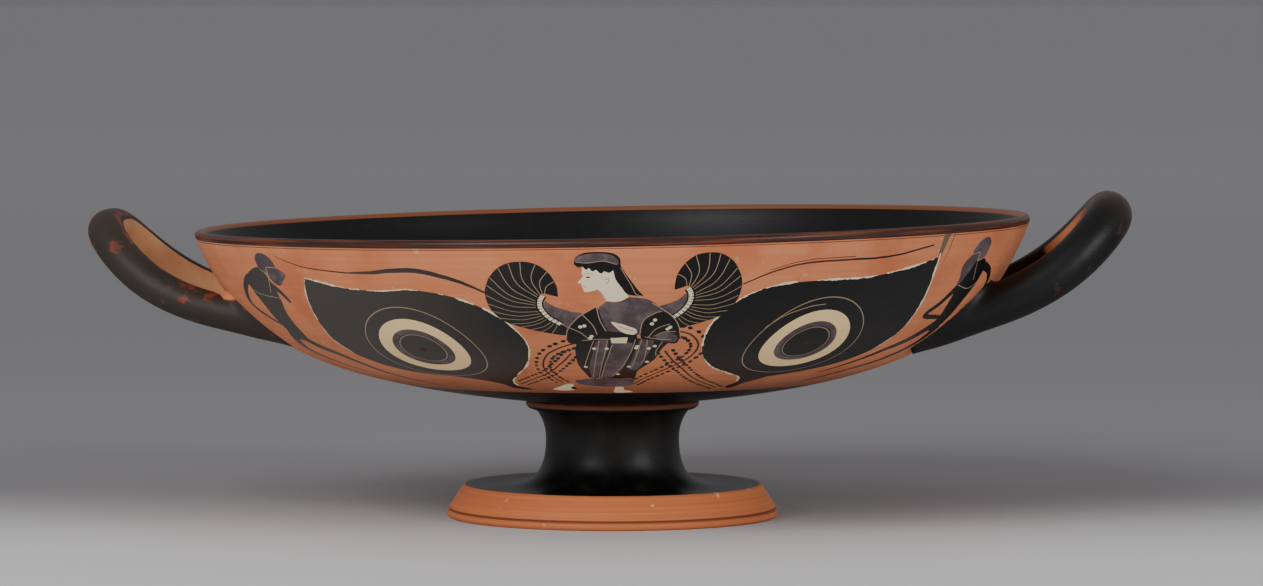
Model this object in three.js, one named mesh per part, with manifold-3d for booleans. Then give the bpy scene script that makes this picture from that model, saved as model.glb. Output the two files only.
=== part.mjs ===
// A Greek drinking cup (kylix): a wide shallow bowl on a short stem and a disc foot, with two
// looped handles. The potter threw the bowl and the foot on the wheel, rolled the handles by
// hand, and fired them as one piece of clay. Millimetres, +Z up, the handles along X and the
// painted front towards -Y, with the middle of the underside at the origin.
import * as THREE from 'three';
import { mergeVertices } from 'three/addons/utils/BufferGeometryUtils.js';
import Module from 'manifold-3d';

// Bowl
const rimRadius = 152.4;        // outermost edge of the lip
const rimHeight = 108.2;        // top of the lip over the table
const lipRadius = 1.7;          // the lip is a half round of this radius
const rimLean = 0.365;          // how far the wall leans out at the rim, in radians
const bowlRootRadius = 31;      // where the bowl's outside leaves the stem
const bowlRootHeight = 43;
const bowlRootSlope = 0.105;    // the bowl starts nearly level
const lowPull = 75.3;           // how long the bowl keeps its starting slope
const rimPull = 44.7;           // how long it keeps its lean below the rim
const rootWall = 5.2;           // wall thickness over the stem; it thins towards the lip
const floorHeight = 46.6;       // inside of the bowl, at the middle

// Stem and foot
const neckRadius = 24.4;
const neckHeight = 28.5;
const collarRadius = 31.4;      // little round moulding between stem and bowl
const collarBase = 39.4;
const collarTop = 42.8;
const discRadius = 54.2;        // upper face of the foot
const discHeight = 12;
const footRadius = 60.7;        // widest, at the bead along the bottom edge
const footBead = 2.7;           // height of that bead
const restInner = 51;           // inside of the flat ring that the cup stands on
const hollowHeight = 31;        // top of the hollow under the stem
const hollowRadius = 9;         // its radius up there

// Handles: each starts and ends in the wall, runs out level and turns up to its tip.
const handles = [
  { side: -1, reach: 185.6, spread: 40.2, square: 3.2, height: 72.6, rise: 36.9,
    evenRise: 0.27, armRadius: 6.5, tipRadius: 6.8, turn: -1 },
  { side: 1, reach: 180.9, spread: 38.2, square: 3.6, height: 68.9, rise: 38.3,
    evenRise: 0.44, armRadius: 7.1, tipRadius: 8.3, turn: 1 },
];
const handleStart = 100;        // where the arms begin, deep in the bowl's wall
const rootFlare = 2;            // extra radius where an arm is pressed onto the wall
const rootFlareLength = 0.33;   // how soon that dies out, as a share of the reach

// The rim sags to the left, as it dried on a bowl that was not quite level.
const sag = 0.0202;             // rise per millimetre to the right, at the rim
const sagStart = 40;
const sagFull = 109;

const turnSteps = 64;           // facets around the bowl and the foot
const wallSteps = 13;           // steps up the bowl's wall
const handleSteps = 26;
const handleSides = 10;

const bowlCurve = new THREE.CubicBezierCurve(
  new THREE.Vector2(bowlRootRadius, bowlRootHeight),
  new THREE.Vector2(bowlRootRadius + lowPull * Math.cos(bowlRootSlope),
    bowlRootHeight + lowPull * Math.sin(bowlRootSlope)),
  rimEdge(rimPull),
  rimEdge(0),
);

// A point on the outside of the rim, or some way down along its lean.
function rimEdge(down) {
  const across = rimRadius - lipRadius + lipRadius * Math.cos(rimLean);
  const up = rimHeight - lipRadius - lipRadius * Math.sin(rimLean);
  return new THREE.Vector2(across - down * Math.sin(rimLean), up - down * Math.cos(rimLean));
}

// The bowl's wall from the stem (0) to the rim (1), at a depth from outside (0) to inside (1).
function wallPoint(along, depth) {
  const point = bowlCurve.getPoint(along);
  const direction = bowlCurve.getTangent(along);
  const inward = depth * THREE.MathUtils.lerp(rootWall, 2 * lipRadius, along);
  return new THREE.Vector2(point.x - direction.y * inward, point.y + direction.x * inward);
}

function wallPoints(depth, steps) {
  return Array.from({ length: steps + 1 }, (_, i) => wallPoint(i / steps, depth));
}

function footPath() {
  const path = new THREE.Path();
  path.moveTo(0, hollowHeight);
  path.bezierCurveTo(hollowRadius, hollowHeight, 16, 8, restInner, 0);
  path.lineTo(footRadius - 1.6, 0);
  path.bezierCurveTo(footRadius + 0.5, 0, footRadius + 0.5, footBead,
    footRadius - 0.9, footBead);
  path.lineTo(footRadius - 0.5, footBead + 0.7);
  path.lineTo(discRadius + 0.8, discHeight - 0.8);
  path.lineTo(discRadius, discHeight);
  path.bezierCurveTo(36, 10, neckRadius, 9.5, neckRadius, neckHeight);
  path.bezierCurveTo(neckRadius, 34, 26.5, 37.5, 28.2, collarBase);
  path.bezierCurveTo(collarRadius + 0.9, collarBase, collarRadius + 0.9, collarTop,
    bowlRootRadius - 0.2, collarTop);
  return path.getPoints(5);
}

function lipPoints() {
  const path = new THREE.Path();
  path.absarc(rimRadius - lipRadius, rimHeight - lipRadius, lipRadius, -rimLean,
    Math.PI - rimLean, false);
  return path.getPoints(3).slice(1, -1);
}

function lathe(points) {
  return new THREE.LatheGeometry(points, turnSteps).rotateX(Math.PI / 2);
}

function vessel() {
  const inside = wallPoints(1, wallSteps - 2).reverse();
  const floor = [new THREE.Vector2(inside.at(-1).x / 2, floorHeight + 0.4),
    new THREE.Vector2(0, floorHeight)];
  return lathe([...footPath(), ...wallPoints(0, wallSteps), ...lipPoints(), ...inside, ...floor]);
}

// Fills the bowl up to the middle of its wall: what it takes off a handle never shows.
function bowlPlug() {
  const side = wallPoints(0.5, wallSteps);
  const top = side.at(-1);
  return lathe([new THREE.Vector2(0, side[0].y), ...side, new THREE.Vector2(0, top.y)]);
}

class HandleSpine extends THREE.Curve {
  constructor(handle) {
    super();
    this.handle = handle;
  }

  // How far out the spine is at an angle from one root (-90 degrees) to the other, as a share.
  out(angle) {
    return Math.max(Math.cos(angle), 0) ** (2 / this.handle.square);
  }

  getPoint(t, target = new THREE.Vector3()) {
    const { side, reach, spread, square, height, rise, evenRise } = this.handle;
    const angle = (t - 0.5) * Math.PI;
    const out = this.out(angle);
    const across = Math.sign(angle) * Math.abs(Math.sin(angle)) ** (2 / square);
    const up = evenRise * out + (1 - evenRise) * out ** 4;
    const along = THREE.MathUtils.lerp(handleStart, reach, out);
    return target.set(side * along, spread * across, height + rise * up);
  }
}

function handleGeometry(handle) {
  const spine = new HandleSpine(handle);
  const section = new THREE.Shape().absarc(0, 0, 1, 0, 2 * Math.PI, false);
  const geometry = new THREE.ExtrudeGeometry(section, {
    extrudePath: spine, steps: handleSteps, curveSegments: handleSides / 2, bevelEnabled: false,
  });
  // The bar swells to its roots and its tip, so each ring is scaled about the spine.
  const centres = spine.getSpacedPoints(handleSteps);
  const position = geometry.attributes.position;
  const point = new THREE.Vector3();
  for (let i = 0; i < position.count; i += 1) {
    point.fromBufferAttribute(position, i);
    const centre = centres.reduce((a, b) =>
      (a.distanceToSquared(point) < b.distanceToSquared(point) ? a : b));
    const out = (Math.abs(centre.x) - handleStart) / (handle.reach - handleStart);
    const radius = THREE.MathUtils.lerp(handle.armRadius, handle.tipRadius, out ** 2)
      + rootFlare * Math.exp(-((out / rootFlareLength) ** 4));
    point.sub(centre).multiplyScalar(radius).add(centre);
    position.setXYZ(i, point.x, point.y, point.z);
  }
  return geometry.rotateZ(THREE.MathUtils.degToRad(handle.turn));
}

const wasm = await Module();
wasm.setup();

function solid(geometry) {
  geometry.deleteAttribute('normal');
  geometry.deleteAttribute('uv');
  const merged = mergeVertices(geometry, 1e-4);
  const corners = merged.index.array;
  const triangles = [];
  for (let i = 0; i < corners.length; i += 3) {
    const [a, b, c] = corners.slice(i, i + 3);
    if (a !== b && b !== c && c !== a) triangles.push(a, b, c);
  }
  return new wasm.Manifold(new wasm.Mesh({
    numProp: 3,
    vertProperties: merged.attributes.position.array,
    triVerts: new Uint32Array(triangles),
  }));
}

function cupGeometry() {
  const plug = solid(bowlPlug());
  const joined = handles.reduce(
    (cup, handle) => cup.add(solid(handleGeometry(handle)).subtract(plug)), solid(vessel()));
  const mesh = joined.getMesh();
  const vertices = mesh.vertProperties;
  for (let i = 0; i < vertices.length; i += 3) {
    const share = THREE.MathUtils.clamp((vertices[i + 2] - sagStart) / (sagFull - sagStart), 0, 1.2);
    vertices[i + 2] += sag * vertices[i] * share;
  }
  const geometry = new THREE.BufferGeometry();
  geometry.setAttribute('position', new THREE.BufferAttribute(vertices, 3));
  geometry.setIndex(new THREE.BufferAttribute(mesh.triVerts, 1));
  geometry.computeVertexNormals();
  return geometry;
}

const clay = new THREE.MeshStandardMaterial({ color: 0xb4754c, roughness: 0.45, metalness: 0 });
const cup = new THREE.Mesh(cupGeometry(), clay);
cup.name = 'kylix';

const group = new THREE.Group();
group.add(cup);

export default group;
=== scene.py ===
import math
from bisect import bisect_right

import bmesh
import bpy
from mathutils import Matrix, Vector, geometry, kdtree, noise


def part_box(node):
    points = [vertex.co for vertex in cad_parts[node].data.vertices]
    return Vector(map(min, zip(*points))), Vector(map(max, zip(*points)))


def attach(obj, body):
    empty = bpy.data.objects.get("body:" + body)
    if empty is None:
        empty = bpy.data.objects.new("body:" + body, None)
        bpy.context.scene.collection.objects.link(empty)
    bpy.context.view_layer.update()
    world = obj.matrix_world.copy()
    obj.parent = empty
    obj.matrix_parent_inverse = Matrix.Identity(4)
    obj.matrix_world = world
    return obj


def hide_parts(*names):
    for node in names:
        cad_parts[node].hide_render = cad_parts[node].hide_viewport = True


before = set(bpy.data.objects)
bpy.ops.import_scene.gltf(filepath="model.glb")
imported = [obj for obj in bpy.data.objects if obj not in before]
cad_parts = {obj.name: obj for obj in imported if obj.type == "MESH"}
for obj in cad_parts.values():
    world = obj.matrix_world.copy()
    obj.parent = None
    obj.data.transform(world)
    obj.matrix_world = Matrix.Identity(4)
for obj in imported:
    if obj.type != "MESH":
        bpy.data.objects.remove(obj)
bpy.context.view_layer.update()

cupLow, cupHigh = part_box("kylix")

cup = {
    "rimRadius": 152.4, "rimHeight": 108.2,
    "lipRadius": 1.7, "lean": 0.365,             # half round lip; lean of the wall at the rim
    "rootRadius": 31, "rootHeight": 43, "rootSlope": 0.105,
    "lowPull": 75.3, "rimPull": 44.7,
    "rootWall": 5.2, "floorHeight": 46.6,
    "sag": 0.0202, "sagStart": 40, "sagFull": 109,
}
mm = (cupHigh.y - cupLow.y) / 2 / cup["rimRadius"]    # one millimetre of the cup, in scene units


def mix(a, b, share):
    return a + (b - a) * share


def clamp(value, low=0.0, high=1.0):
    return max(low, min(high, value))


def curvePoint(a, b, c, d, t):
    u = 1 - t
    return a * u ** 3 + b * (3 * u * u * t) + c * (3 * u * t * t) + d * t ** 3


# the bowl's wall, in millimetres: radius and height

def rimEdge(down):
    across = cup["rimRadius"] - cup["lipRadius"] * (1 - math.cos(cup["lean"]))
    up = cup["rimHeight"] - cup["lipRadius"] * (1 + math.sin(cup["lean"]))
    return Vector((across - down * math.sin(cup["lean"]), up - down * math.cos(cup["lean"])))


def makeWallTable(steps=500):
    start = Vector((cup["rootRadius"], cup["rootHeight"]))
    slope = Vector((math.cos(cup["rootSlope"]), math.sin(cup["rootSlope"])))
    ends = (start, start + slope * cup["lowPull"], rimEdge(cup["rimPull"]), rimEdge(0))
    points = [curvePoint(*ends, i / steps) for i in range(steps + 1)]
    lengths = [0.0]
    for a, b in zip(points, points[1:]):
        lengths.append(lengths[-1] + (b - a).length)
    return points, lengths


wallPoints, wallLengths = makeWallTable()
wallLength = wallLengths[-1]


def wallAt(length, depth=0):
    # the wall this far up from the stem; depth runs from 0 outside to 1 inside
    i = min(max(bisect_right(wallLengths, length) - 1, 0), len(wallPoints) - 2)
    share = (length - wallLengths[i]) / (wallLengths[i + 1] - wallLengths[i])
    a, b = wallPoints[i], wallPoints[i + 1]
    direction = (b - a).normalized()
    along = (i + share) / (len(wallPoints) - 1)
    inward = depth * mix(cup["rootWall"], 2 * cup["lipRadius"], along)
    return a.lerp(b, share) + Vector((-direction.y, direction.x)) * inward


def sagged(point):
    share = clamp((point.z - cup["sagStart"]) / (cup["sagFull"] - cup["sagStart"]), 0, 1.2)
    return Vector((point.x, point.y, point.z + cup["sag"] * point.x * share))


def finishPiece(name, bm, material):
    # from millimetres to scene units, then a mesh object that rides on the cup
    bmesh.ops.scale(bm, vec=(mm, mm, mm), verts=bm.verts)
    mesh = bpy.data.meshes.new(name)
    bm.to_mesh(mesh)
    bm.free()
    for polygon in mesh.polygons:
        polygon.use_smooth = True
    mesh.materials.append(material)
    piece = bpy.data.objects.new(name, mesh)
    bpy.context.scene.collection.objects.link(piece)
    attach(piece, "root")
    print(name, len(mesh.polygons), "faces")
    return piece


def spinProfile(bm, points, steps, alongs):
    # points are (radius, height); the turn starts under the left handle
    layer = bm.verts.layers.float["along"]
    verts = [bm.verts.new((-p[0], 0, p[1])) for p in points]
    for vert, along in zip(verts, alongs):
        vert[layer] = along
    edges = [bm.edges.new(pair) for pair in zip(verts, verts[1:])]
    bmesh.ops.spin(bm, geom=verts + edges, cent=(0, 0, 0), axis=(0, 0, 1), angle=2 * math.pi,
                   steps=steps, use_merge=True)


# shader helpers

class Wire:
    # a node's output that can be used in sums
    def __init__(self, tree, socket):
        self.tree, self.socket = tree, socket

    def node(self, kind, settings=None, inputs=None, output=0):
        made = self.tree.nodes.new(kind)
        for key, value in (settings or {}).items():
            setattr(made, key, value)
        for key, value in (inputs or {}).items():
            if isinstance(value, Wire):
                self.tree.links.new(value.socket, made.inputs[key])
            else:
                made.inputs[key].default_value = value
        return Wire(self.tree, made.outputs[output])

    def math(self, operation, *values):
        return self.node("ShaderNodeMath", {"operation": operation}, dict(enumerate(values)))

    def __add__(self, other):
        return self.math("ADD", self, other)

    __radd__ = __add__

    def __sub__(self, other):
        return self.math("SUBTRACT", self, other)

    def __rsub__(self, other):
        return self.math("SUBTRACT", other, self)

    def __mul__(self, other):
        return self.math("MULTIPLY", self, other)

    __rmul__ = __mul__

    def isNear(self, value, reach=0.4):
        return self.math("COMPARE", self, value, reach)

    def rise(self, low, high):
        # 0 below low, 1 above high, smooth between; low may be the larger one
        return self.node("ShaderNodeMapRange", {"interpolation_type": "SMOOTHSTEP"},
                         {"Value": self, "From Min": low, "From Max": high})


def srgb(red, green, blue):
    # a colour as it is seen, 0 to 255, to the linear one that a shader wants
    def linear(value):
        value /= 255
        return value / 12.92 if value <= 0.04045 else ((value + 0.055) / 1.055) ** 2.4
    return (linear(red), linear(green), linear(blue), 1)


class Finish:
    # a new material with its shader, and the sources that its patterns read
    def __init__(self, name):
        self.material = bpy.data.materials.new(name)
        self.material.use_nodes = True
        self.tree = self.material.node_tree
        self.shader = self.tree.nodes["Principled BSDF"]
        self.start = Wire(self.tree, None)
        self.place = self.start.node("ShaderNodeTexCoord", output="Object")
        self.x, self.y, self.z = (
            self.start.node("ShaderNodeSeparateXYZ", None, {0: self.place}, i) for i in range(3))

    def attribute(self, name):
        return self.start.node("ShaderNodeAttribute", {"attribute_name": name}, None, "Fac")

    def vector(self, x, y, z):
        return self.start.node("ShaderNodeCombineXYZ", None, {0: x, 1: y, 2: z})

    def fromAxis(self):
        # distance from the cup's upright axis, in millimetres
        radius = self.start.node("ShaderNodeVectorMath", {"operation": "LENGTH"},
                                 {0: self.vector(self.x, self.y, 0)}, "Value")
        return radius * (1 / mm)

    def noise(self, vector, scale, detail=2.0, roughness=0.5):
        return self.start.node("ShaderNodeTexNoise", None, {
            "Vector": vector, "Scale": scale, "Detail": detail, "Roughness": roughness}, "Fac")

    def blend(self, share, first, second):
        # a colour: first where share is 0, second where it is 1
        return self.start.node("ShaderNodeMix", {"data_type": "RGBA"},
                               {0: share, 6: first, 7: second}, 2)

    def bump(self, height, strength, distance):
        return self.start.node("ShaderNodeBump", None, {
            "Height": height, "Strength": strength, "Distance": distance})

    def set(self, **inputs):
        for key, value in inputs.items():
            socket = self.shader.inputs[key.replace("_", " ")]
            if isinstance(value, Wire):
                self.tree.links.new(value.socket, socket)
            else:
                socket.default_value = value
        return self.material


clayColours = {
    "clay": srgb(215, 130, 86), "clayPale": srgb(226, 150, 110), "clayDeep": srgb(198, 110, 69),
    # the next colour is painted shade for the bowl's underside near the stem
    "clayShadeBelow": srgb(112, 76, 57),
    # the greyer black at the end of the next line is a painted sheen on the black, not a colour of its own
    "black": srgb(7, 7, 7), "blackWorn": srgb(24, 17, 14), "blackSheen": srgb(68, 64, 59),
    "purple": srgb(82, 68, 70), "purplePale": srgb(108, 94, 96), "white": srgb(246, 230, 192),
    "cream": srgb(255, 222, 164), "incised": srgb(172, 148, 118), "brownLine": srgb(78, 45, 32),
    "redSpot": srgb(66, 38, 34), "repair": srgb(112, 96, 80), "edge": srgb(214, 126, 68),
    "lip": srgb(58, 32, 24), "lipWorn": srgb(120, 58, 34), "lipInside": srgb(132, 76, 48),
    # the stem colour on the next line is the black painted greyer, a painted sheen
    "collar": srgb(138, 86, 70), "stem": srgb(44, 42, 39), "speck": srgb(226, 196, 160),
}


# the painted band: shapes drawn flat, x round the girth and y up the wall

band = {
    "low": 48, "high": 145.1, "columns": 360, "girth": 132,    # girth: radius at which x is measured
    "turn": 3.75,                # degrees from the front to the middle of the picture
    "cell": 2.3, "clearance": 0.9,               # spacing of the plain mesh, and its gap to an outline
    "lineBelow": (44, 46.5), "rootLine": 3,      # bare lines further down, measured up the wall
    "weld": 0.02,
}
clay, black, purple, white, incised, thinBrown, redSpot, repair, cream = range(9)
shapes = []                      # (paint, outline); a later one lies on top


def girthX(degrees):
    return band["girth"] * math.radians(degrees - band["turn"])


def ontoWall(x, y):
    angle = math.radians(band["turn"]) + x / band["girth"]
    radius, height = wallAt(y)
    return Vector((radius * math.sin(angle), -radius * math.cos(angle), height))


def smoothRun(points, closed=False, step=0.9):
    # a curve through the points, sampled about every step
    points = [Vector(p) for p in points]
    count = len(points)
    result = []
    for i in range(count if closed else count - 1):
        b, c = points[i], points[(i + 1) % count]
        a = points[i - 1] if closed or i else b * 2 - c
        d = points[(i + 2) % count] if closed or i + 2 < count else c * 2 - b
        pieces = max(3, round((c - b).length / step))
        first, last = b + (c - a) / 6, c - (d - b) / 6
        result += [curvePoint(b, first, last, c, k / pieces) for k in range(pieces)]
    return result if closed else result + [points[-1]]


def handDrawn(point, amount=0.13):
    # the brush's small unsteadiness; it depends on the place alone, so neighbours agree
    here, elsewhere = Vector((point.x * 0.3, point.y * 0.3, 5)), Vector((9.3, 4.1, 2.7))
    shift = Vector((noise.noise(here), noise.noise(here + elsewhere)))
    return point + shift * amount


def addShape(paint, outline, steady=False):
    outline = [Vector(p) for p in outline]
    if not steady:
        outline = [handDrawn(p) for p in outline]
        outline = [Vector((p.x, min(p.y, band["high"] - 0.2))) for p in outline]
    turning = sum(a.x * b.y - b.x * a.y for a, b in zip(outline, outline[1:] + outline[:1]))
    shapes.append((paint, outline if turning > 0 else outline[::-1]))


def area(paint, *runs):
    # runs of a smooth outline, with a corner where two runs meet; one run alone is closed smoothly
    if len(runs) == 1:
        return addShape(paint, smoothRun(runs[0], closed=True))
    outline = []
    for run in runs:
        start = [outline.pop()] if outline else []
        outline += smoothRun([*start, *run])
    addShape(paint, outline)


def stroke(paint, points, width, endWidth=None, midWidth=None, step=0.9):
    line = smoothRun(points, step=step)
    endWidth = width if endWidth is None else endWidth
    left, right = [], []
    for i, p in enumerate(line):
        share = i / (len(line) - 1)
        wide = mix(width, endWidth, share)
        if midWidth is not None:
            wide = mix(wide, midWidth, math.sin(math.pi * share))
        ahead = (line[min(i + 1, len(line) - 1)] - line[max(i - 1, 0)]).normalized()
        side = Vector((-ahead.y, ahead.x)) * wide / 2
        left.append(p + side)
        right.append(p - side)
    addShape(paint, left + right[::-1])


def disc(paint, x, y, radius, sides=None):
    # a circle struck on the wall: its width on the flat sheet grows where the girth is less
    sides = sides or max(8, round(radius * 5))
    outline = []
    for i in range(sides):
        turn = 2 * math.pi * i / sides
        up = y + radius * math.sin(turn)
        outline.append((x + radius * math.cos(turn) * band["girth"] / wallAt(up).x, up))
    addShape(paint, outline, steady=True)


def ring(paint, inside, x, y, radius, width):
    disc(paint, x, y, radius + width / 2)
    disc(inside, x, y, radius - width / 2)


def line(points, width=0.34, paint=incised):
    stroke(paint, points, width)


def wholeBand(paint, low, high):
    columns = [girthX(degrees) for degrees in range(-90, 271)]
    addShape(paint, [(x, low) for x in columns] + [(x, high) for x in columns[::-1]], steady=True)


def drawPicture():
    wholeBand(black, band["low"], 51.5)
    wholeBand(black, 144.7, band["high"])
    wholeBand(thinBrown, 144.0, 144.25)
    drawVines()
    drawEye(-73.2, 98.3, leftEye)
    drawEye(73.8, 100.2, rightEye, redrawn=True)
    drawBrows()
    drawWing(1, -40.6, 107.5, 1.0)
    drawWing(-1, 40.7, 109.7, 0.92)
    drawDress()
    drawHead()
    drawRunner(leftRunner)
    drawRunner(rightRunner)
    drawMend()
    drawBack()


# the great eyes

leftEye = (
    [(-108, 132.3), (-102, 131), (-90.5, 128.5), (-77, 127.7), (-65.5, 128.4), (-52.2, 125.6),
     (-40.5, 119.3), (-33, 110.2), (-30.4, 100.5), (-33.8, 88.5), (-40.5, 79.3), (-46.3, 71),
     (-47.6, 63.5)],
    [(-44, 60.5), (-41.7, 57.5)],
    [(-47, 58), (-52, 60.5), (-54, 66)],
    [(-60.5, 70.2), (-73.8, 74.8), (-88.8, 76.8), (-103, 82.7), (-113, 92.7), (-115.3, 102), (-114.2, 111),
     (-111.7, 123.5), (-108, 132.3)],
)
rightEye = (
    [(114.9, 136.2), (103.2, 133.1), (86.5, 130.2), (69.9, 129.8), (54.9, 128.9), (44, 125.2),
     (36.5, 118.1), (32.4, 109.3), (33.2, 96.8), (39.9, 85.6), (49.9, 78.9), (58.2, 73.5), (61.1, 66)],
    [(59.5, 61), (62, 57.7)],
    [(65, 58.5), (67, 65.2), (73.2, 72.7)],
    [(86.5, 76.4), (102.4, 82.7), (114, 92.7), (118.6, 104.3), (117.8, 117.7), (116.5, 125.2),
     (114.9, 136.2)],
)


def drawEye(x, y, outline, redrawn=False):
    area(black, *outline)
    drawFlaking(outline[0], 0.62)
    drawFlaking(outline[-1][-5:], 0.4)
    ring(incised, black, x, y, 22.4, 0.36)
    if redrawn:
        line([(x - 20.5, y + 9.5), (x - 15, y + 15), (x - 7, y + 18.5), (x - 1, y + 19.5)])
    disc(cream, x, y, 16.9)
    disc(purple, x, y, 11.6)
    disc(black, x, y, 9.4)
    ring(incised, black, x, y, 8.7, 0.34)
    disc(redSpot, x, y, 1.3)


def drawFlaking(points, width):
    # what is left of a white contour: short ragged strokes with gaps where it has come off
    path = smoothRun(points, step=0.7)
    piece = []
    for i, p in enumerate(path):
        kept = noise.noise(Vector((p.x * 0.16, p.y * 0.16, 3))) + 0.5 * noise.noise(Vector((p.x, p.y, 9)))
        if kept > -0.34 and i < len(path) - 1:
            piece.append((p, kept))
            continue
        if len(piece) > 2:
            raggedStroke(piece, width)
        piece = []


def raggedStroke(piece, width):
    left, right = [], []
    for i, (p, kept) in enumerate(piece):
        ahead = piece[min(i + 1, len(piece) - 1)][0] - piece[max(i - 1, 0)][0]
        side = Vector((-ahead.y, ahead.x)).normalized()
        half = width * clamp(0.35 + kept * 1.1, 0.2, 0.75)
        rough = 0.3 * noise.noise(Vector((p.x * 2.3, p.y * 2.3, 1)))
        left.append(p + side * (half + rough))
        right.append(p - side * (half - rough * 0.6))
    addShape(white, left + right[::-1], steady=True)


def drawBrows():
    left = [(-118.8, 141), (-113.8, 138.9), (-107.2, 137), (-98.8, 135.8), (-88.8, 135), (-78.8, 135.2),
            (-70.5, 136.2), (-62.2, 136.1), (-54.7, 134.3), (-47.2, 131.4), (-40.3, 127.4)]
    stroke(thinBrown, left[:5], 0.3, 0.6)
    stroke(black, left[4:], 0.5, 0.7, midWidth=1.9)
    right = [(40.9, 129.4), (49, 133.3), (57.4, 136), (65.7, 137), (78.2, 137.3), (88.2, 137.4),
             (96.5, 138.3), (103.2, 139.6), (110.5, 140.9)]
    stroke(thinBrown, right, 0.5, 0.6, midWidth=0.75)
    stroke(thinBrown, [(x, y + 1.1) for x, y in right[1:5]], 0.3)
    stroke(black, right[4:], 0.7, 0.6)


def drawMend():
    # a break at the right was filled with grey plaster, down to the eye's tip and along its edge
    stroke(repair, [(115.8, 144.9), (115.4, 141), (115.2, 136.6)], 3.0, 1.8)
    stroke(white, [(115.2, 137.5), (116.9, 125.2), (118.2, 117.7), (118.9, 106)], 0.5, 0.3)
    stroke(thinBrown, [(119.6, 144.9), (119.2, 141), (118.6, 134)], 0.4, 0.2)


# the winged figure in the middle

# a wing as it stands on the left; x and y run from its outermost and its lowest point
wing = {
    "outside": [(23.4, 18.1), (23.2, 22.7), (21.7, 26.8), (19.2, 29.8), (16.3, 31.7), (12.5, 32.2),
                (8.8, 31.7), (5.4, 29.8), (2.8, 26.8), (0.9, 23.1), (0, 18.9), (0.4, 14.3), (2.1, 10.2),
                (5, 6.8), (8.8, 4.8), (12.9, 3.1), (17.1, 1.7), (21.3, 0.6), (25, 0)],
    "inside": [(26.3, 2.7), (24.2, 5.2), (21.3, 6.4), (18.8, 9.3), (17.3, 12.7), (16.7, 16), (17.3, 18.5),
               (19.2, 19.5), (21.3, 18.7), (23.4, 18.1)],
    "shoulder": [(19.2, 16.4), (18.8, 13.5), (20.4, 9.7), (22.9, 7.3), (26.5, 4), (31, 7.5), (30.4, 11),
                 (27.9, 11.4), (24.6, 12.7), (21.3, 14.3)],
    "covert": [(18.6, 18.6), (17.4, 16.2), (17.5, 13), (19.6, 9), (23.4, 5.6)],
    "feathers": 17,
}


def drawWing(side, outermost, lowest, wide):
    def put(points):
        return [(outermost + side * x * wide, lowest + y) for x, y in points]

    area(purple, put(wing["shoulder"]))
    area(black, put(wing["outside"]), put(wing["inside"]))
    edge, root = smoothRun(wing["outside"]), smoothRun(wing["inside"])[::-1]
    for i in range(wing["feathers"]):
        share = (i + 0.6) / wing["feathers"]
        start = root[round((0.16 + 0.66 * share) * (len(root) - 1))]
        end = edge[round((0.05 + 0.9 * share ** 0.94) * (len(edge) - 1))]
        reach = end - start
        middle = (start + end) / 2 + Vector((-reach.y, reach.x)) * (0.17 - 0.11 * share)
        line(put([start, middle, start.lerp(end, 0.985)]), 0.22)
    stroke(black, put(wing["covert"]), 2.7)
    beads = smoothRun(put(wing["covert"]), step=1.9)
    for a, b in zip(beads, beads[1:]):
        reach = (b - a) * 0.4
        stroke(white, [a.lerp(b, 0.5) - reach, a.lerp(b, 0.5) + reach], 1.5, step=0.5)


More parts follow.
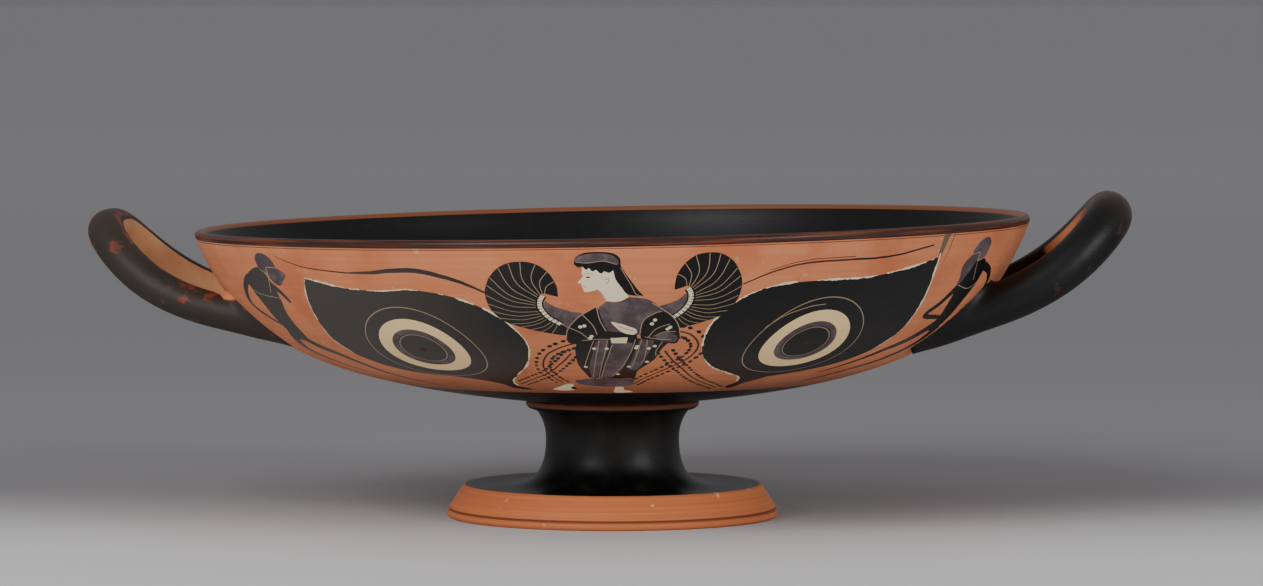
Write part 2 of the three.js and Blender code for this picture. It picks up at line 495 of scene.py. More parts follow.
def drawDress():
    area(white, [(-18.5, 68.3), (-19, 65), (-20, 58)], [(-26, 56.8), (-31, 58.6), (-30.5, 60)],
         [(-26, 64), (-22, 67.5), (-18.5, 68.3)])                                      # feet
    area(black, [(-21, 62), (-19.3, 64), (-18.3, 60.5), (-20.5, 59.3)])
    area(white, [(1.3, 63.5), (5.3, 63), (5.8, 58)], [(10.5, 55.4), (9.8, 53.4), (1.2, 53.4), (1.3, 63.5)])
    area(black, [(-12.7, 103.9), (-13.7, 97), (-13.6, 90), (-12.7, 85), (-11.4, 81), (-10, 76)],
         [(-1, 75), (8, 75), (9.8, 76)],
         [(10.3, 82.7), (13.2, 87.7), (16.1, 92.7), (17.3, 97.7), (19, 101.8), (20.7, 103.5)],
         [(4, 106), (-12.7, 103.9)])
    area(purple, [(-17, 72.3), (-10, 75), (-5, 74.6), (0, 75.2), (7, 74.5), (9.8, 76)],
         [(9.4, 68), (8.5, 65.6)], [(3, 64.2), (-4, 64), (-10.5, 65.8), (-15.8, 68.3), (-17, 72.3)])   # hem
    folds = [
        [(-6, 104.3), (-7.6, 96), (-9.3, 87), (-9.2, 77), (-7.2, 75), (-4.4, 87), (-2.4, 96),
         (-1.6, 104.5)],
        [(-0.6, 102.6), (7, 102.6), (5.6, 92), (3.6, 83), (-0.6, 76.6), (-5.4, 74.8), (-4, 84), (-2, 94)],
        [(9.4, 105.6), (14.2, 104.3), (13, 96), (11.4, 87.5), (9.4, 83.6), (6.2, 85), (7.6, 94)],
    ]
    for fold in folds:
        area(purple, [fold[0], *fold[1:4]], [*fold[4:], fold[0]])
    for points in ([(-6.8, 104.3), (-9.2, 95), (-11.4, 86)], [(-4.7, 104.7), (-6.8, 90), (-8.5, 76)],
                   [(-1.8, 104.7), (-4, 90), (-6, 75.5)], [(-0.2, 102), (-3, 88), (-5, 75)],
                   [(8.2, 106.8), (6.3, 96), (4.4, 88.5)], [(10.3, 106.4), (8.8, 95), (7.3, 84.5)],
                   [(12, 106), (12.1, 95), (11.2, 88.6)], [(17.6, 104), (15.8, 98), (16.1, 94.6)],
                   [(4.8, 89), (1.6, 82), (-0.4, 77)]):
        line(points)
    # the chest, then the cloak over both arms
    area(purple, [(-1.8, 123.5), (-4.3, 121), (-4.7, 117.7), (-3.5, 113.5), (-1.8, 109), (4, 108.2)],
         [(9, 107.6), (11.5, 109.3),
          (13.6, 114)], [(16.1, 118.5), (14, 121.8), (10.7, 124.2), (4.8, 125.2)],
         [(1, 123), (-1.8, 123.5)])
    area(black, [(-5, 121.4), (-9.3, 118.3), (-12.7, 114.8), (-15.2, 110.6), (-15.9, 106.8)],
         [(-15.4, 103.6), (-12.9, 102.6), (-10.2, 104.3), (-1, 105.2), (8.5, 105)], [(8.2, 108)],
         [(3.5, 108.8), (-1.4, 109.6)], [(-2.9, 113), (-4, 117.4), (-5, 121.4)])
    area(black, [(15.9, 119.2), (18.4, 117.5), (20.9, 114.6), (22.6, 110.8), (23.4, 106.8)],
         [(22.8, 103), (20.7, 102.4), (15.7, 104.3), (10, 104.9)],
         [(9.4, 107.5), (9.2, 111), (10.2, 114.8), (12.6, 117.6), (15.9, 119.2)])
    area(purple, [(15.6, 108.2), (19.2, 108.7), (22.3, 106.3), (22, 103.4), (18.4, 103.8), (15, 105.2)])
    for points in ([(-5, 121.4), (-9.3, 118.3), (-12.7, 114.8), (-15.2, 110.6), (-15.9, 107)],
                   [(-5.2, 121), (-4.2, 115), (-2.2, 109.5)], [(-9.8, 117.5), (-6.6, 112.5), (-5.4, 107.8)],
                   [(-14.5, 111.5), (-11, 109), (-8.4, 105.4)], [(-10.8, 104.6), (-5, 105.4), (-1, 105.2)],
                   [(12.4, 122.6), (18.4, 117.6), (21.8, 112.6), (23.6, 105.6)],
                   [(9.2, 108), (10, 114.4), (13.4, 117.8), (16, 118.8)],
                   [(12.2, 106), (14.6, 110.4), (19, 112.8)], [(11, 106.4), (16, 105), (20.6, 104.6)],
                   [(14.2, 106.6), (17.6, 108.8), (21.4, 109)]):
        line(points)
    area(white, [(-0.4, 114.4), (1.6, 113.6), (4.6, 112.4)], [(7.6, 110.6), (8.2, 108.8), (7.2, 107.6)],
         [(4.2, 108.4), (2, 110.2), (-0.2, 113.2), (-0.4, 114.4)])                      # hand
    line([(1.8, 111.9), (4.6, 110.6), (7, 109.6)], 0.2, thinBrown)
    area(white, [(-0.8, 106), (5.2, 106.2)], [(4.8, 102.9)], [(-0.5, 103)], [(-0.8, 106)])
    for x, y in ((-10.9, 111.9), (-9.5, 112.4), (-7.3, 107), (-7.8, 105.9), (18.5, 110.3), (19.3, 111.2),
                 (13.9, 114.8), (13, 113), (-6.7, 99.8), (-2.2, 99.7), (8.7, 101), (8.4, 99.9), (15, 101),
                 (13, 99.6), (13.2, 90.4), (-10.7, 86.5), (2.2, 79.6), (6.4, 86.6)):
        disc(white, x, y, 0.75, 9)


def drawHead():
    # the face is laid out in equal thirds: hair to brow, brow to nose, nose to chin
    hairline, chin, front = 137.6, 127.6, -9.4
    third = (hairline - chin) / 3
    brow, nose = hairline - third, hairline - 2 * third
    area(white, [(front + 0.6, hairline + 1), (front + 0.1, hairline - 1), (front - 0.1, brow + 0.4)],
         [(front + 0.35, brow - 0.5), (front - 1.3, nose + 0.6)],
         [(front - 1.1, nose + 0.1), (front, nose - 0.1)],
         [(front - 0.4, nose - 0.9)], [(front + 0.2, nose - 1.25)], [(front - 0.2, nose - 1.7)],
         [(front + 0.35, nose - 2.2), (front + 0.1, chin + 0.9), (front + 0.6, chin)],
         [(front + 2.2, chin), (front + 4.6, chin + 0.9)],
         [(front + 6.1, chin - 0.9), (front + 7.4, chin - 4)], [(2, 123.4), (4.9, 125.1)],
         [(3.4, 128.4), (1.4, 132.6), (0.6, 136)], [(-4, hairline + 2), (front + 0.6, hairline + 1)])
    area(black, [(-11.7, 138.4), (-11.2, 141), (-8.6, 142.6), (-4.3, 143), (0.2, 142.4), (2.2, 140.2),
                 (2.6, 137.2), (5.2, 132.4), (7.6, 128.4)],
         [(9.8, 125.3)], [(7, 125.7), (4.4, 126.4), (2.9, 128.8), (0.9, 132.2), (0.1, 135.9)],
         [(-1.2, 134.9), (-2.6, 135.6)], [(-3.6, 134.7), (-5, 136.3)], [(-6.2, 135.7), (-7.2, 137)],
         [(-8.2, 136.2), (-9.2, 137.6)], [(-10.4, 137.2), (-11.7, 138.4)])
    area(purple, [(-11.3, 139.3), (-10.6, 141.2), (-7.8, 142.2), (-4, 142.5), (-0.2, 141.7), (1.6, 139.6),
                  (1.4, 138.3), (-3, 139.6), (-7, 138.9)])
    line([(2.4, 136.8), (5.6, 130), (7.4, 126.2), (9.6, 125.3)], 0.22)
    line([(1.4, 138.2), (-3, 139.5), (-7, 138.9), (-11, 139.2)], 0.22)
    eyeX, eyeY = front + 1.7, brow - 0.9
    area(black, [(eyeX - 0.7, eyeY), (eyeX + 0.1, eyeY + 0.42), (eyeX + 1.2, eyeY + 0.05)],
         [(eyeX + 0.2, eyeY - 0.25), (eyeX - 0.7, eyeY)])
    line([(front + 0.7, brow + 0.2), (front + 2.1, brow + 0.55),
          (front + 3.7, brow + 0.2)], 0.16, thinBrown)
    line([(front + 0.15, nose - 1.3), (front + 1.2, nose - 1.4)], 0.14, thinBrown)
    line([(-2.3, nose + 1.4), (-1.4, nose + 1.9), (-1.2, nose + 0.8), (-2.1, nose - 0.2)], 0.18, thinBrown)
    stroke(purple, [(-2.6, 123), (1.6, 122.6), (5, 124.6)], 0.5)


# vines: a stem with a row of small leaves on each side

def drawVines():
    vines = [
        [(-13.5, 103.1), (-19.3, 100.2), (-24.3, 96), (-27.2, 89.3), (-27.7, 83.5), (-26, 76.8), (-23, 70)],
        [(-15.2, 96.8), (-20.2, 89.3), (-26, 81.8), (-32.7, 76), (-39.3, 71), (-44.5, 67)],
        [(21.5, 109.4), (27, 107.2), (30.3, 102.7), (30.7, 97.7), (28.2, 91.8), (24.8, 87.7), (19, 81),
         (14, 75.2), (9.2, 67)],
        [(19, 98), (23.2, 91), (28.2, 84.3), (33.2, 77.6), (39, 71.4), (45, 66.6), (50, 63), (55, 59.3)],
    ]
    for vine in vines:
        drawVine(vine)


def drawVine(points, pitch=2.75, offset=2.7):
    path = smoothRun(points, step=0.5)
    stroke(thinBrown, points, 0.8)
    walked, due = 0.0, 1.2
    for a, b in zip(path, path[1:]):
        walked += (b - a).length
        if walked < due:
            continue
        due += pitch
        ahead = (b - a).normalized()
        side = Vector((-ahead.y, ahead.x))
        for way in (1, -1):
            leaf = a + side * offset * way + ahead * 0.5 * way
            size = 1.0 + 0.25 * noise.noise(Vector((leaf.x, leaf.y, 2)))
            area(black, [leaf + ahead * size * 1.1, leaf + side * size * 0.85, leaf - ahead * size * 1.1,
                         leaf - side * size * 0.85])


# the bearded men running away beside the handles; x is measured from the body's middle

leftRunner = {
    "place": (-135, 0), "facing": 1,
    "legs": [[(-3, 104), (3, 96), (9, 92), (15.5, 83), (20.2, 75), (28, 67), (37, 60)],
             [(-6, 104), (-10.5, 99), (-12.8, 92.7), (-7, 84), (-1.5, 78), (3, 73)]],
    "body": [(-8, 131.5), (-9, 126), (-7.8, 118.5), (-8, 109), (-7, 101), (1, 100), (3.4, 108.5),
             (4.6, 115.2), (7.5, 122.7), (7.2, 131), (3, 136)],
    "arms": [[(2, 132), (-7, 131), (-15.5, 125), (-19, 118.5), (-13, 112.5), (-7.5, 108.8)],
             [(5, 130), (10, 125.5), (12.5, 121)]],
    "head": [(4.2, 135), (4, 139.5), (7, 141.9), (11.4, 141.2), (13.6, 138.6), (14, 136), (12, 134),
             (8, 133.4)],
    "beard": [(8.5, 136), (13.6, 136), (17.8, 133.4), (15, 130.6), (11.5, 128.4), (8.2, 131)],
}
rightRunner = {
    "place": (143, 0), "facing": -1,
    "legs": [[(2, 107), (9, 99), (15, 94.5), (20.2, 91), (32, 81), (41, 74.3)],
             [(-2.5, 104), (-1, 93), (7.7, 82.7), (22, 73.5), (37, 61.5)]],
    "body": [(-5.6, 131.8), (-6.2, 124), (-4.6, 116), (-4.4, 106), (-2, 102), (4.6, 103), (5, 110),
             (6.8, 117), (8, 124), (7, 130.5), (1, 134.4)],
    "arms": [[(-5, 131), (-12.3, 128.5), (-17.3, 124.3), (-18.5, 120)],
             [(5, 127), (12, 117), (16.9, 111.4), (8, 109.6), (0.2, 109.3)]],
    "head": [(-2, 134.5), (-2.4, 139.6), (0.6, 142.2), (4.6, 141.6), (7.4, 139.4), (8.2, 137), (6.4, 134.6),
             (2.4, 133.4)],
    "beard": [(3, 136.4), (7.8, 136), (11.4, 132), (9.6, 127), (8.6, 123.6), (5.6, 128)],
}


def drawRunner(man):
    def put(points):
        middle, floor = man["place"]
        return [(middle + man["facing"] * x, floor + y) for x, y in points]

    for leg in man["legs"]:
        stroke(black, put(leg), 5.4, 1.2)
    for arm in man["arms"]:
        stroke(black, put(arm), 3.4, 1.6)
    area(black, put(man["body"]))
    area(purple, put(man["head"]))
    area(purple, put(man["beard"]))
    head, body, beard = man["head"], man["body"], man["beard"]
    line(put([head[0], head[-1], beard[0], beard[1]]), 0.3)
    line(put([beard[0], (beard[0][0] - 1.5, beard[0][1] - 5), (beard[0][0] - 5, beard[0][1] - 11)]), 0.3)
    line(put([body[1], (body[1][0] + 5, body[1][1] - 2), body[8]]), 0.3)
    for leg in man["legs"]:
        line(put(leg[1:4]), 0.25)


# the back: the same scheme, plainer

def drawBack():
    middle = girthX(180 + band["turn"])
    for side in (-1, 1):
        eye = [[(middle + side * (x - 0.3), y) for x, y in run] for run in rightEye]
        area(black, *eye)
        x, y = middle + side * 73.5, 100.2
        ring(incised, black, x, y, 22.4, 0.36)
        disc(cream, x, y, 16.9)
        disc(purple, x, y, 11.6)
        disc(black, x, y, 9.4)
        disc(redSpot, x, y, 1.3)
        brow = [(41, 129.4), (49, 133.3), (65.7, 137), (88.2, 137.4), (110.5, 140.9)]
        stroke(thinBrown, [(middle + side * x, y) for x, y in brow], 0.5, midWidth=1.4)
        drawVine([(middle + side * x, y) for x, y in
                  ((2, 136), (10, 128), (17, 117), (19.5, 105), (15, 93), (6, 83), (0.8, 70), (0.8, 58))])


def layPicture(bm):
    # cuts the flat sheet along every outline, keeps the topmost paint, and lays it round the wall
    along, paintLayer = bm.verts.layers.float["along"], bm.faces.layers.float["paint"]
    low, high, columns = band["low"], band["high"], band["columns"]
    left, right = girthX(-90), girthX(270)
    columnX = [mix(left, right, i / columns) for i in range(columns + 1)]
    rows = round((high - low) / band["cell"])
    rowY = [mix(low, high, i / rows) for i in range(rows + 1)]
    border = ([Vector((x, low)) for x in columnX] + [Vector((right, y)) for y in rowY[1:]]
              + [Vector((x, high)) for x in columnX[-2::-1]] + [Vector((left, y)) for y in rowY[-2:0:-1]])
    points, loops = list(border), []
    for paint, outline in shapes:
        loops.append(list(range(len(points), len(points) + len(outline))))
        points += outline
    taken = kdtree.KDTree(len(points))
    for i, p in enumerate(points):
        taken.insert((p.x, p.y, 0), i)
    taken.balance()
    cell = (right - left) / columns
    for row, y in enumerate(rowY[1:-1]):
        for column in range(1, columns):
            x = columnX[column] + (cell / 2 if row % 2 else 0)
            if x < right - cell / 3 and taken.find((x, y, 0))[2] > band["clearance"]:
                points.append(Vector((x, y)))
    rim = [(i, (i + 1) % len(border)) for i in range(len(border))]
    flat, _, faces, _, _, owners = geometry.delaunay_2d_cdt(points, rim, loops, 1, 1e-4, True)
    verts = []
    for p in flat:
        vert = bm.verts.new(ontoWall(p.x, p.y))
        vert[along] = p.y
        verts.append(vert)
    for face, owner in zip(faces, owners):
        made = bm.faces.new([verts[i] for i in face])
        made[paintLayer] = shapes[max(owner)][0] if owner else clay
    print("picture", len(shapes), "shapes")


def bowlProfiles():
    # two runs of (radius, height) with their length up the wall: under the band, and over the lip
    low, high = band["low"], band["high"]
    outside = [low * i / 16 for i in range(17)]
    under = [(0.0, wallAt(0).y - 0.4, 0.0)] + [(*wallAt(s), s) for s in outside]
    over = [(*wallAt(s), s) for s in (high, mix(high, wallLength, 0.5), wallLength)]
    radius, lean = cup["lipRadius"], cup["lean"]
    for i in range(1, 9):
        turn = math.pi * i / 9 - lean
        over.append((cup["rimRadius"] - radius * (1 - math.cos(turn)),
                     cup["rimHeight"] - radius * (1 - math.sin(turn)), wallLength + 0.6 * i))
    lip = wallLength + 0.6 * 9
    for i in range(37):
        back = wallLength * (i / 36)
        over.append((*wallAt(wallLength - back, 1), lip + back))
    inner, height = over[-1][:2]
    for share in (0.8, 0.6, 0.4, 0.2, 0.0):
        over.append((inner * share, cup["floorHeight"] + (height - cup["floorHeight"]) * share ** 2,
                     lip + wallLength + inner * (1 - share)))
    return under, over


def makeBowl():
    drawPicture()
    bm = bmesh.new()
    bm.verts.layers.float.new("along")
    paintLayer = bm.faces.layers.float.new("paint")
    for profile in bowlProfiles():
        spinProfile(bm, [p[:2] for p in profile], band["columns"], [p[2] for p in profile])
    along = bm.verts.layers.float["along"]
    for face in bm.faces:
        s = sum(v[along] for v in face.verts) / len(face.verts)
        isBare = band["lineBelow"][0] < s < band["lineBelow"][1] or s < band["rootLine"]
        face[paintLayer] = clay if isBare else black
    layPicture(bm)
    bmesh.ops.remove_doubles(bm, verts=bm.verts, dist=band["weld"])
    for vert in bm.verts:
        vert.co = sagged(vert.co)
    bmesh.ops.recalc_face_normals(bm, faces=bm.faces)
    bowl = finishPiece("bowl", bm, bowlFinish())
    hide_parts("kylix")


def bowlFinish():
    f = Finish("paintedBowl")
    c = clayColours
    along, paint = f.attribute("along"), f.attribute("paint")
    wheel = f.noise(f.vector(f.x * 7, f.y * 7, along * 0.5), 1, 3)
    mottle = f.noise(f.place, 45, 3)
    blotch = f.noise(f.place, 160, 4, 0.65)
    grain = f.noise(f.place, 900, 2)
    colour = f.blend(wheel.rise(0.3, 0.85) * 0.7, c["clay"], c["clayPale"])
    colour = f.blend(mottle.rise(0.45, 0.75) * 0.8, colour, c["clayDeep"])
    colour = f.blend(blotch.rise(0.62, 0.72) * 0.35, colour, c["speck"])
    # painted shade: the clay is darkened towards the stem, under the bowl, where less light reaches
    colour = f.blend(along.rise(86, 50) * 0.75, colour, c["clayShadeBelow"])
    gloss = f.blend(blotch.rise(0.5, 0.75) * 0.8, c["black"], c["blackWorn"])
    # the black outside is painted greyer towards the left handle: a painted sheen of the light from the left
    sheenedBlack = f.blend(f.x.rise(0.005, -0.085) * 0.85, gloss, c["blackSheen"])
    isBlack = paint.isNear(black)
    colour = f.blend(isBlack, colour, sheenedBlack)
    worn = f.blend(blotch.rise(0.4, 0.65), c["purple"], c["purplePale"])
    colour = f.blend(paint.isNear(purple), colour, worn)
    for number, name in ((white, "white"), (cream, "cream"), (incised, "incised"),
                         (thinBrown, "brownLine"), (redSpot, "redSpot"), (repair, "repair")):
        colour = f.blend(paint.isNear(number), colour, c[name])
    # the lip: worn to red-brown outside, and left in the clay's colour along its inner edge
    start = wallLength
    lip = f.blend(f.noise(f.vector(f.x * 30, f.y * 30, along * 1.5), 1, 3).rise(0.45, 0.7),
                  c["lip"], c["lipWorn"])
    colour = f.blend(along.rise(start - 0.5, start - 0.3), colour, lip)
    colour = f.blend(along.rise(start + 3.6, start + 3.9), colour, c["lipInside"])
    colour = f.blend(along.rise(start + 5.7, start + 6.1), colour, gloss)
    # a plain bare medallion with two black rings, in the middle of the inside
    radius = f.fromAxis()
    medal = along.rise(start + 60, start + 61) * radius.rise(38.5, 38.2)
    rings = radius.isNear(35.2, 0.9) + radius.isNear(6, 2)
    colour = f.blend(medal, colour, f.blend(rings, c["clay"], c["black"]))
    rough = 0.62 - isBlack * 0.24 + (grain - 0.5) * 0.1
    height = wheel * 0.3 + grain * 0.4
    return f.set(Base_Color=colour, Roughness=rough, Specular_IOR_Level=0.32,
                 Normal=f.bump(height, 0.12, 0.0005))


# the foot

foot = {
    "neckRadius": 24.4, "neckHeight": 28.5, "collarRadius": 31.4, "collarBase": 39.4, "collarTop": 42.8,
    "discRadius": 54.2, "discHeight": 12, "radius": 60.7, "bead": 2.7,
    "restInner": 51, "hollowHeight": 31, "hollowRadius": 9, "steps": 144, "weld": 0.005,
}


def footProfile():
    radius, neck, rest = foot["radius"], foot["neckRadius"], foot["restInner"]
    plate, top = foot["discRadius"], foot["discHeight"]
    base, collar, edge = foot["collarBase"], foot["collarTop"], foot["bead"]
    inner, outer = cup["rootRadius"] - 0.2, foot["collarRadius"] + 0.9
    curves = [
        ((0, foot["hollowHeight"]), (foot["hollowRadius"], foot["hollowHeight"]), (16, 8), (rest, 0), 20),
        ((rest, 0), (rest + 2, 0), (radius - 4, 0), (radius - 1.6, 0), 3),
        ((radius - 1.6, 0), (radius + 0.5, 0), (radius + 0.5, edge), (radius - 0.9, edge), 12),
        ((radius - 0.9, edge), (radius - 1.3, edge),
         (radius - 1.2, edge + 0.5), (radius - 0.8, edge + 0.8), 4),
        ((radius - 0.8, edge + 0.8), (59, 5.4), (57, 8.4), (plate + 0.9, top - 0.9), 6),
        ((plate + 0.9, top - 0.9), (plate + 0.7, top - 0.5), (plate + 0.4, top), (plate, top), 3),
        ((plate, top), (36, 10), (neck, 9.5), (neck, foot["neckHeight"]), 26),
        ((neck, foot["neckHeight"]), (neck, 34), (26.5, 37.5), (28.2, base), 12),
        ((28.2, base), (outer, base), (outer, collar), (inner, collar), 12),
        ((inner, collar), (20, collar), (10, collar), (0, collar), 3),
    ]
    points = [Vector(curves[0][0])]
    for a, b, c, d, steps in curves:
        ends = [Vector(p) for p in (a, b, c, d)]
        points += [curvePoint(*ends, (i + 1) / steps) for i in range(steps)]
    return points


def makeFoot():
    bm = bmesh.new()
    bm.verts.layers.float.new("along")
    profile = footProfile()
    lengths = [0.0]
    for a, b in zip(profile, profile[1:]):
        lengths.append(lengths[-1] + (b - a).length)
    spinProfile(bm, profile, foot["steps"], lengths)
    bmesh.ops.remove_doubles(bm, verts=bm.verts, dist=foot["weld"])
    for vert in bm.verts:
        vert.co = sagged(vert.co)
    bmesh.ops.recalc_face_normals(bm, faces=bm.faces)
    finishPiece("foot", bm, footFinish())


def footFinish():
    f = Finish("footClay")
    c = clayColours
    along = f.attribute("along")
    wheel = f.noise(f.vector(f.x * 9, f.y * 9, along * 1.6), 1, 3)
    blotch = f.noise(f.place, 130, 3, 0.6)
    grain = f.noise(f.place, 900, 2)
    radius, height = f.fromAxis(), f.z * (1 / mm)
    outer, top, bead = foot["discRadius"], foot["discHeight"], foot["bead"]
    isEdge = radius.rise(outer - 0.5, outer) * height.rise(top + 0.5, top)
    isCollar = height.rise(foot["collarTop"] - 2, foot["collarTop"] - 1.7)
    reserved = isEdge + isCollar
    colour = f.blend(wheel.rise(0.3, 0.7), c["edge"], c["clayDeep"])
    colour = f.blend(blotch.rise(0.66, 0.72) * 0.8, colour, c["speck"])
    colour = f.blend(isCollar, colour, c["collar"])
    groove = height.rise(bead - 0.3, bead + 0.2) * height.rise(bead + 1.1, bead + 0.6) * radius.rise(55, 56)
    colour = f.blend(groove * 0.75, colour, c["brownLine"])
    # the stem's upper half is painted greyer than the rest of the black: a painted sheen
    gloss = f.blend(blotch.rise(0.4, 0.7) * 0.5 + height.rise(18, 28) * 0.5, c["black"], c["stem"])
    colour = f.blend(reserved, gloss, colour)
    rough = 0.4 + reserved * 0.2 + (grain - 0.5) * 0.1
    return f.set(Base_Color=colour, Roughness=rough, Specular_IOR_Level=0.32,
                 Normal=f.bump(wheel * 0.25 + grain * 0.4, 0.12, 0.0005))


# the handles: each leaves the wall, runs out level and turns up to its tip

handleLeft = {
    "side": -1, "reach": 185.6, "spread": 40.2, "square": 3.2, "height": 72.6, "rise": 36.9,
    "evenRise": 0.27, "armRadius": 6.5, "tipRadius": 6.8, "turn": -1,
    # the left handle's black is painted grey: a painted sheen of the light from the left
    "gloss": srgb(50, 43, 36), "worn": srgb(122, 54, 34), "wornFrom": 0.57, "inside": srgb(206, 150, 106),
    "smear": 1, "mend": srgb(188, 166, 138), "brownTip": 0.1,
    "rough": 0.56, "reserved": 76,               # reserved: how far from the tip the inner face is bare
}
handleRight = {
    "side": 1, "reach": 180.9, "spread": 38.2, "square": 3.6, "height": 68.9, "rise": 38.3,
    "evenRise": 0.44, "armRadius": 7.1, "tipRadius": 8.3, "turn": 1,
    "gloss": srgb(9, 8, 8), "worn": srgb(62, 38, 26), "wornFrom": 0.6, "inside": srgb(190, 112, 72),
    "smear": 0, "mend": srgb(128, 116, 100), "brownTip": 0.6,
    "rough": 0.44, "reserved": 44,
}
bar = {
    "start": 100,                                # where the arms begin, deep in the bowl's wall
    "rootFlare": 2, "rootFlareLength": 0.33,     # swelling at a root, and how soon it dies out
    "facing": 150,                               # the bare face looks to the middle of the loop, here
    "stations": 1200, "rings": 120, "sides": 40, "unevenness": 0.02,
    "buried": 9, "wallDepth": 1.7,               # how far an arm goes in, and how deep its skin may lie
    "fillet": 3.0, "filletFlare": 0.8, "filletRings": 26, "seamReach": 7,
}


def spinePoint(handle, angle):
    out = max(math.cos(angle), 0) ** (2 / handle["square"])
    across = math.copysign(abs(math.sin(angle)) ** (2 / handle["square"]), angle)
    up = handle["evenRise"] * out + (1 - handle["evenRise"]) * out ** 4
    point = Vector((handle["side"] * mix(bar["start"], handle["reach"], out),
                    handle["spread"] * across, handle["height"] + handle["rise"] * up))
    return Matrix.Rotation(math.radians(handle["turn"]), 3, "Z") @ point, out


def wallDistance(point):
    # how far a point is outside the bowl's wall, and the direction straight off it
    radius = math.hypot(point.x, point.y)
    here = Vector((radius, point.z))
    s = min(range(0, round(wallLength) + 1, 2), key=lambda k: (wallAt(k) - here).length)
    for step in (1, 0.5, 0.25, 0.12):
        s = min((s - step, s, s + step), key=lambda k: (wallAt(k) - here).length)
    direction = wallAt(s + 0.2) - wallAt(s - 0.2)
    off = Vector((direction.y, -direction.x)).normalized()
    outward = Vector((point.x * off.x / radius, point.y * off.x / radius, off.y))
    return (here - wallAt(s)).dot(off), outward


def spineTable(handle):
    # stations along the middle of the bar from one root to the other, and their lengths along it
    count = bar["stations"]
    stations = [spinePoint(handle, mix(-math.pi / 2, math.pi / 2, i / count)) for i in range(count + 1)]
    lengths = [0.0]
    for (a, _), (b, _) in zip(stations, stations[1:]):
        lengths.append(lengths[-1] + (b - a).length)
    return stations, lengths


def spineAt(stations, lengths, length):
    # the middle of the bar this far along, its direction, and its share of the reach
    last = len(lengths) - 1
    i = min(bisect_right(lengths, length) - 1, last - 1)
    share = (length - lengths[i]) / (lengths[i + 1] - lengths[i])
    centre = stations[i][0].lerp(stations[i + 1][0], share)
    ahead = (stations[min(i + 5, last)][0] - stations[max(i - 4, 0)][0]).normalized()
    return centre, ahead, mix(stations[i][1], stations[i + 1][1], share)


def addRing(bm, handle, spot, length):
    centre, ahead, out = spot
    along, inward = bm.verts.layers.float["along"], bm.verts.layers.float["inward"]
    middle = Vector((handle["side"] * bar["facing"], 0, handle["height"] + handle["rise"] / 2))
    inside = middle - centre
    inside = (inside - ahead * inside.dot(ahead)).normalized()
    upward = ahead.cross(inside)
    radius = mix(handle["armRadius"], handle["tipRadius"], out ** 2)
    radius += bar["rootFlare"] * math.exp(-(out / bar["rootFlareLength"]) ** 4)
    ring = []
    for n in range(bar["sides"]):
        turn = 2 * math.pi * n / bar["sides"]
        arm = inside * math.cos(turn) + upward * math.sin(turn)
        wobble = 1 + bar["unevenness"] * noise.noise(centre * 0.03 + arm * 0.8)
        vert = bm.verts.new(centre + arm * radius * wobble)
        vert[along] = length
        vert[inward] = math.cos(turn)
        ring.append(vert)
    return ring


def pressOntoWall(bm, ring, centre):
    # rounds the corner between the arm and the wall, and keeps the buried end inside the wall
    seam = bm.verts.layers.float["seam"]
    fillet, depth = bar["fillet"], bar["wallDepth"]
    for vert in ring:
        distance, outward = wallDistance(vert.co)
        vert[seam] = clamp(1 - distance / bar["seamReach"])
        if distance < fillet:
            gap = 1 - clamp(distance / fillet)
            arm = (vert.co - centre).normalized()
            arm = (arm - outward * arm.dot(outward)).normalized()
            vert.co += arm * fillet * (1 - math.sqrt(1 - gap * gap)) * bar["filletFlare"]
            distance, outward = wallDistance(vert.co)
        if distance < -depth:
            vert.co += outward * (-depth - distance)


def makeHandle(name, handle):
    bm = bmesh.new()
    for layer in ("along", "inward", "seam"):
        bm.verts.layers.float.new(layer)
    stations, lengths = spineTable(handle)
    count, steps = bar["stations"], bar["rings"]
    outside = [i for i in range(0, count + 1, 6)
               if wallDistance(stations[i][0])[0] > -bar["buried"]]
    first, last = lengths[outside[0]], lengths[outside[-1]]
    places = [mix(first, last, k / steps) for k in range(steps + 1)]
    spots = [spineAt(stations, lengths, length) for length in places]
    tip = lengths[count // 2]
    rings = [addRing(bm, handle, spot, length - tip) for spot, length in zip(spots, places)]
    for a, b in zip(rings, rings[1:]):
        for n in range(len(a)):
            m = (n + 1) % len(a)
            bm.faces.new((a[n], a[m], b[m], b[n]))
    bm.faces.new(rings[0][::-1])
    bm.faces.new(rings[-1])
    near = bar["filletRings"]
    pairs = list(zip(rings, spots))
    for ring, spot in pairs[:near] + pairs[-near:]:
        pressOntoWall(bm, ring, spot[0])
    for vert in bm.verts:
        vert.co = sagged(vert.co)
    bmesh.ops.recalc_face_normals(bm, faces=bm.faces)
    finishPiece(name, bm, handleFinish(name, handle))


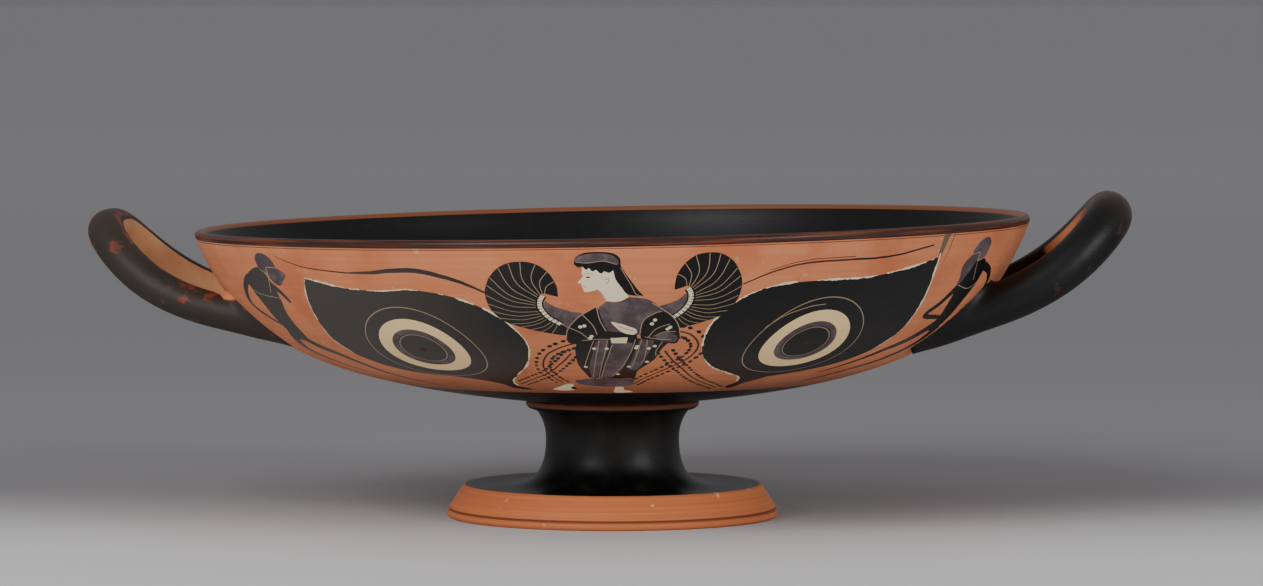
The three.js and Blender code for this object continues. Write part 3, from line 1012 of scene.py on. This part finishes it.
def handleFinish(name, handle):
    f = Finish(name + "Clay")
    along, inward = f.attribute("along"), f.attribute("inward")
    away = along.math("ABSOLUTE", along)                   # distance from the tip, in millimetres
    shoulder = inward.rise(-0.2, 0.25) * inward.rise(0.5, 0.36)      # next to the bare face
    patch = f.noise(f.place, 110, 6, 0.7) + shoulder * 0.1 + away.rise(60, 10) * 0.03
    grain = f.noise(f.place, 900, 2)
    wear = patch.rise(handle["wornFrom"], handle["wornFrom"] + 0.1)
    # the gloss colour holds a painted sheen on the left handle
    colour = f.blend(wear, handle["gloss"], handle["worn"])
    reserved = inward.rise(0.6, 0.68) * away.rise(handle["reserved"] + 3, handle["reserved"])
    edging = inward.rise(0.4, 0.5) - inward.rise(0.62, 0.66)
    colour = f.blend(edging * 0.8, colour, clayColours["black"])
    cloudy = f.noise(f.place, 120, 3).rise(0.45, 0.75) * 0.5
    bare = f.blend(cloudy, handle["inside"], clayColours["clayDeep"])
    colour = f.blend(reserved, colour, bare)
    colour = f.blend(away.rise(30, 5) * handle["brownTip"], colour, handle["worn"])
    # where the handle meets the bowl: the bowl's clay smeared onto it, and a pale mend on its inner side
    seam = f.attribute("seam") + (f.noise(f.place, 150, 3) - 0.5) * 0.7
    smear = seam.rise(0.45, 0.5) * inward.rise(0.5, 0.4) * inward.rise(-0.5, -0.3)
    colour = f.blend(smear * handle["smear"], colour, clayColours["clay"])
    colour = f.blend(seam.rise(0.4, 0.75) * inward.rise(0.15, 0.55), colour, handle["mend"])
    rough = handle["rough"] + reserved * 0.15 + (grain - 0.5) * 0.1
    return f.set(Base_Color=colour, Roughness=rough, Specular_IOR_Level=0.35,
                 Normal=f.bump(grain + patch, 0.15, 0.0005))


# floor, light and camera

stage = {
    # the floor's dim colour is painted shade behind the cup, and its far colour is painted light
    "floorSize": 1200, "floorPale": srgb(230, 230, 230), "floorShade": srgb(149, 147, 149),
    "floorFarLight": srgb(187, 185, 188),
    "shadeFrom": -0.15, "shadeTo": 0.12,         # where the painted shade on the floor begins, and where it is full
    "farLightFrom": 0.2, "farLightTo": 4.5,
    "worldColour": srgb(150, 149, 151), "horizonColour": srgb(110, 109, 111), "worldStrength": 1.05,
    "aim": (0, 0, 0.06),
    "keyPlace": (-1.3, -2.3, 1.5), "keySize": 1.5, "keyPower": 52,
    "fillPlace": (2.2, -1.6, 1.0), "fillSize": 1.2, "fillPower": 26,
}


def addLamp(name, place, size, power):
    light = bpy.data.lights.new(name, "AREA")
    light.shape, light.size, light.energy = "DISK", size, power
    lamp = bpy.data.objects.new(name, light)
    bpy.context.scene.collection.objects.link(lamp)
    lamp.location = place
    aim = Vector(stage["aim"]) - lamp.location
    lamp.rotation_euler = aim.to_track_quat("-Z", "Y").to_euler()


def makeStage():
    bm = bmesh.new()
    bmesh.ops.create_grid(bm, x_segments=1, y_segments=1, size=stage["floorSize"] / 2)
    mesh = bpy.data.meshes.new("floor")
    bm.to_mesh(mesh)
    bm.free()
    floor = bpy.data.objects.new("floor", mesh)
    bpy.context.scene.collection.objects.link(floor)
    f = Finish("floorPaper")
    # painted shade: the floor dims behind the cup; painted light makes it paler again far off
    colour = f.blend(f.y.rise(stage["shadeFrom"], stage["shadeTo"]), stage["floorPale"], stage["floorShade"])
    colour = f.blend(f.y.rise(stage["farLightFrom"], stage["farLightTo"]), colour, stage["floorFarLight"])
    mesh.materials.append(f.set(Base_Color=colour, Roughness=0.9))

    world = bpy.data.worlds.new("studio")
    bpy.context.scene.world = world
    world.use_nodes = True
    background = world.node_tree.nodes["Background"]
    sky = Wire(world.node_tree, None)
    direction = sky.node("ShaderNodeTexCoord", output="Generated")
    up = sky.node("ShaderNodeSeparateXYZ", None, {0: direction}, 2)
    colour = sky.node("ShaderNodeMix", {"data_type": "RGBA"}, {
        0: up.rise(0.01, 0.1), 6: stage["horizonColour"], 7: stage["worldColour"]}, 2)
    world.node_tree.links.new(colour.socket, background.inputs["Color"])
    background.inputs["Strength"].default_value = stage["worldStrength"]

    addLamp("key", stage["keyPlace"], stage["keySize"], stage["keyPower"])
    addLamp("fill", stage["fillPlace"], stage["fillSize"], stage["fillPower"])
    print("stage")


def makeCamera():
    view = {"turn": 3.7, "distance": 1.9925, "height": 0.1875,
            "tilt": 0.0530, "swing": 0.0035, "lens": 155.3}
    data = bpy.data.cameras.new("camera")
    data.lens, data.sensor_width = view["lens"], 36
    data.clip_end = 2000
    camera = bpy.data.objects.new("camera", data)
    bpy.context.scene.collection.objects.link(camera)
    turn = math.radians(view["turn"])
    camera.location = (view["distance"] * math.sin(turn), -view["distance"] * math.cos(turn), view["height"])
    camera.rotation_euler = (math.pi / 2 - view["tilt"], 0, turn - view["swing"])
    bpy.context.scene.camera = camera


makeCamera()
makeStage()
makeBowl()
makeFoot()
makeHandle("handleLeft", handleLeft)
makeHandle("handleRight", handleRight)
